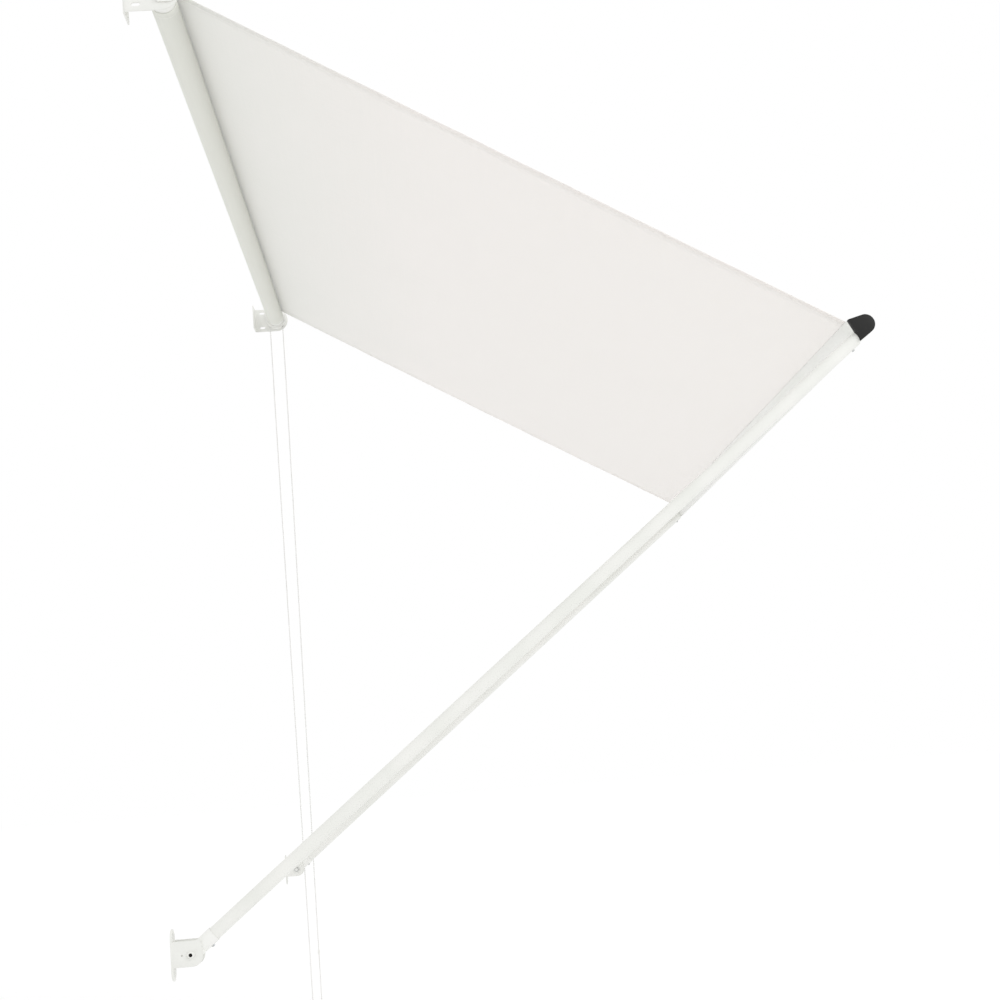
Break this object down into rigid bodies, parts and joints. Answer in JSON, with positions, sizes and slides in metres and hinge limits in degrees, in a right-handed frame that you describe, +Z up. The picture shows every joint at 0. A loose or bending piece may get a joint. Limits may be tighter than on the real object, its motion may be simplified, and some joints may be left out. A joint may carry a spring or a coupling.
{
  "type": "canvas awning",
  "caption": "Wall-mounted drop-arm awning: a fabric roller on wall brackets, swinging tube arms with a front bar, and a ball-chain drive",
  "frame": {"origin": "middle of the left roller bracket's back face, on the wall plane, at the height of the roller's axis", "axes": "+X along the roller from the idle end to the chain end, +Y into the wall, +Z up; the awning stands out towards -Y"},
  "size_m": [2.0083, 1.3991, 2.3802],
  "materials": {
    "white_paint": "white powder coat",
    "white_coated_aluminium": "white powder coat on aluminium",
    "cream_cloth": "woven cream awning cloth",
    "black_plastic": "moulded, lightly grained",
    "white_plastic": "moulded, semi-gloss",
    "zinc_plated_steel": "bright zinc plate"
  },
  "bodies": {
    "root": {"chain_connector": "white_plastic", "chain_cover": "white_plastic", "chain_loop": "white_plastic", "chain_wrap": "white_plastic", "clutch_hub": "white_plastic", "idle_pin": "zinc_plated_steel", "left_arm_bracket": "white_paint", "left_pivot_bolt": "white_paint", "left_pivot_nut": "zinc_plated_steel", "left_roller_bracket": "white_paint", "lower_hub_screw": "zinc_plated_steel", "lower_keeper_screw": "zinc_plated_steel", "pin_keeper": "white_plastic", "right_arm_bracket": "white_paint", "right_pivot_bolt": "white_paint", "right_pivot_nut": "zinc_plated_steel", "right_roller_bracket": "white_paint", "upper_hub_screw": "zinc_plated_steel", "upper_keeper_screw": "zinc_plated_steel", "wrap_spring": "zinc_plated_steel"},
    "drop_frame": {"front_bar": "white_coated_aluminium", "hem_rod": "white_plastic", "left_arm_lower_screw": "zinc_plated_steel", "left_arm_socket": "white_coated_aluminium", "left_arm_tube": "white_paint", "left_arm_upper_screw": "zinc_plated_steel", "left_corner": "black_plastic", "left_pivot_bush": "white_plastic", "right_arm_lower_screw": "zinc_plated_steel", "right_arm_socket": "white_coated_aluminium", "right_arm_tube": "white_paint", "right_arm_upper_screw": "zinc_plated_steel", "right_corner": "black_plastic", "right_pivot_bush": "white_plastic"},
    "roller": {"chain_wheel": "white_plastic", "cloth_roll": "cream_cloth", "idle_bush": "white_plastic", "idle_plug": "white_plastic", "roller_tube": "white_coated_aluminium"},
    "cloth": {"canopy": "cream_cloth"}
  },
  "joints": [
    {"name": "arm_swing", "type": "hinge", "parent": "root", "child": "drop_frame", "pos_m": [0, -0.036, -1.81453], "axis": [-1, 0, 0], "range_deg": [0, 50.2], "deforming": ["canopy"]},
    {"name": "canopy_swing", "type": "hinge", "parent": "root", "child": "cloth", "pos_m": [0, -0.072, 0], "axis": [-1, 0, 0], "range_deg": [0, 24.2]},
    {"name": "roller_spin", "type": "hinge", "parent": "root", "child": "roller", "pos_m": [0, -0.072, 0], "axis": [-1, 0, 0], "range_deg": [0, 3012]}
  ],
  "couplings": [
    {"joint": "canopy_swing", "follows": "arm_swing", "ratio": 0.482},
    {"joint": "roller_spin", "follows": "arm_swing", "ratio": 60}
  ]
}
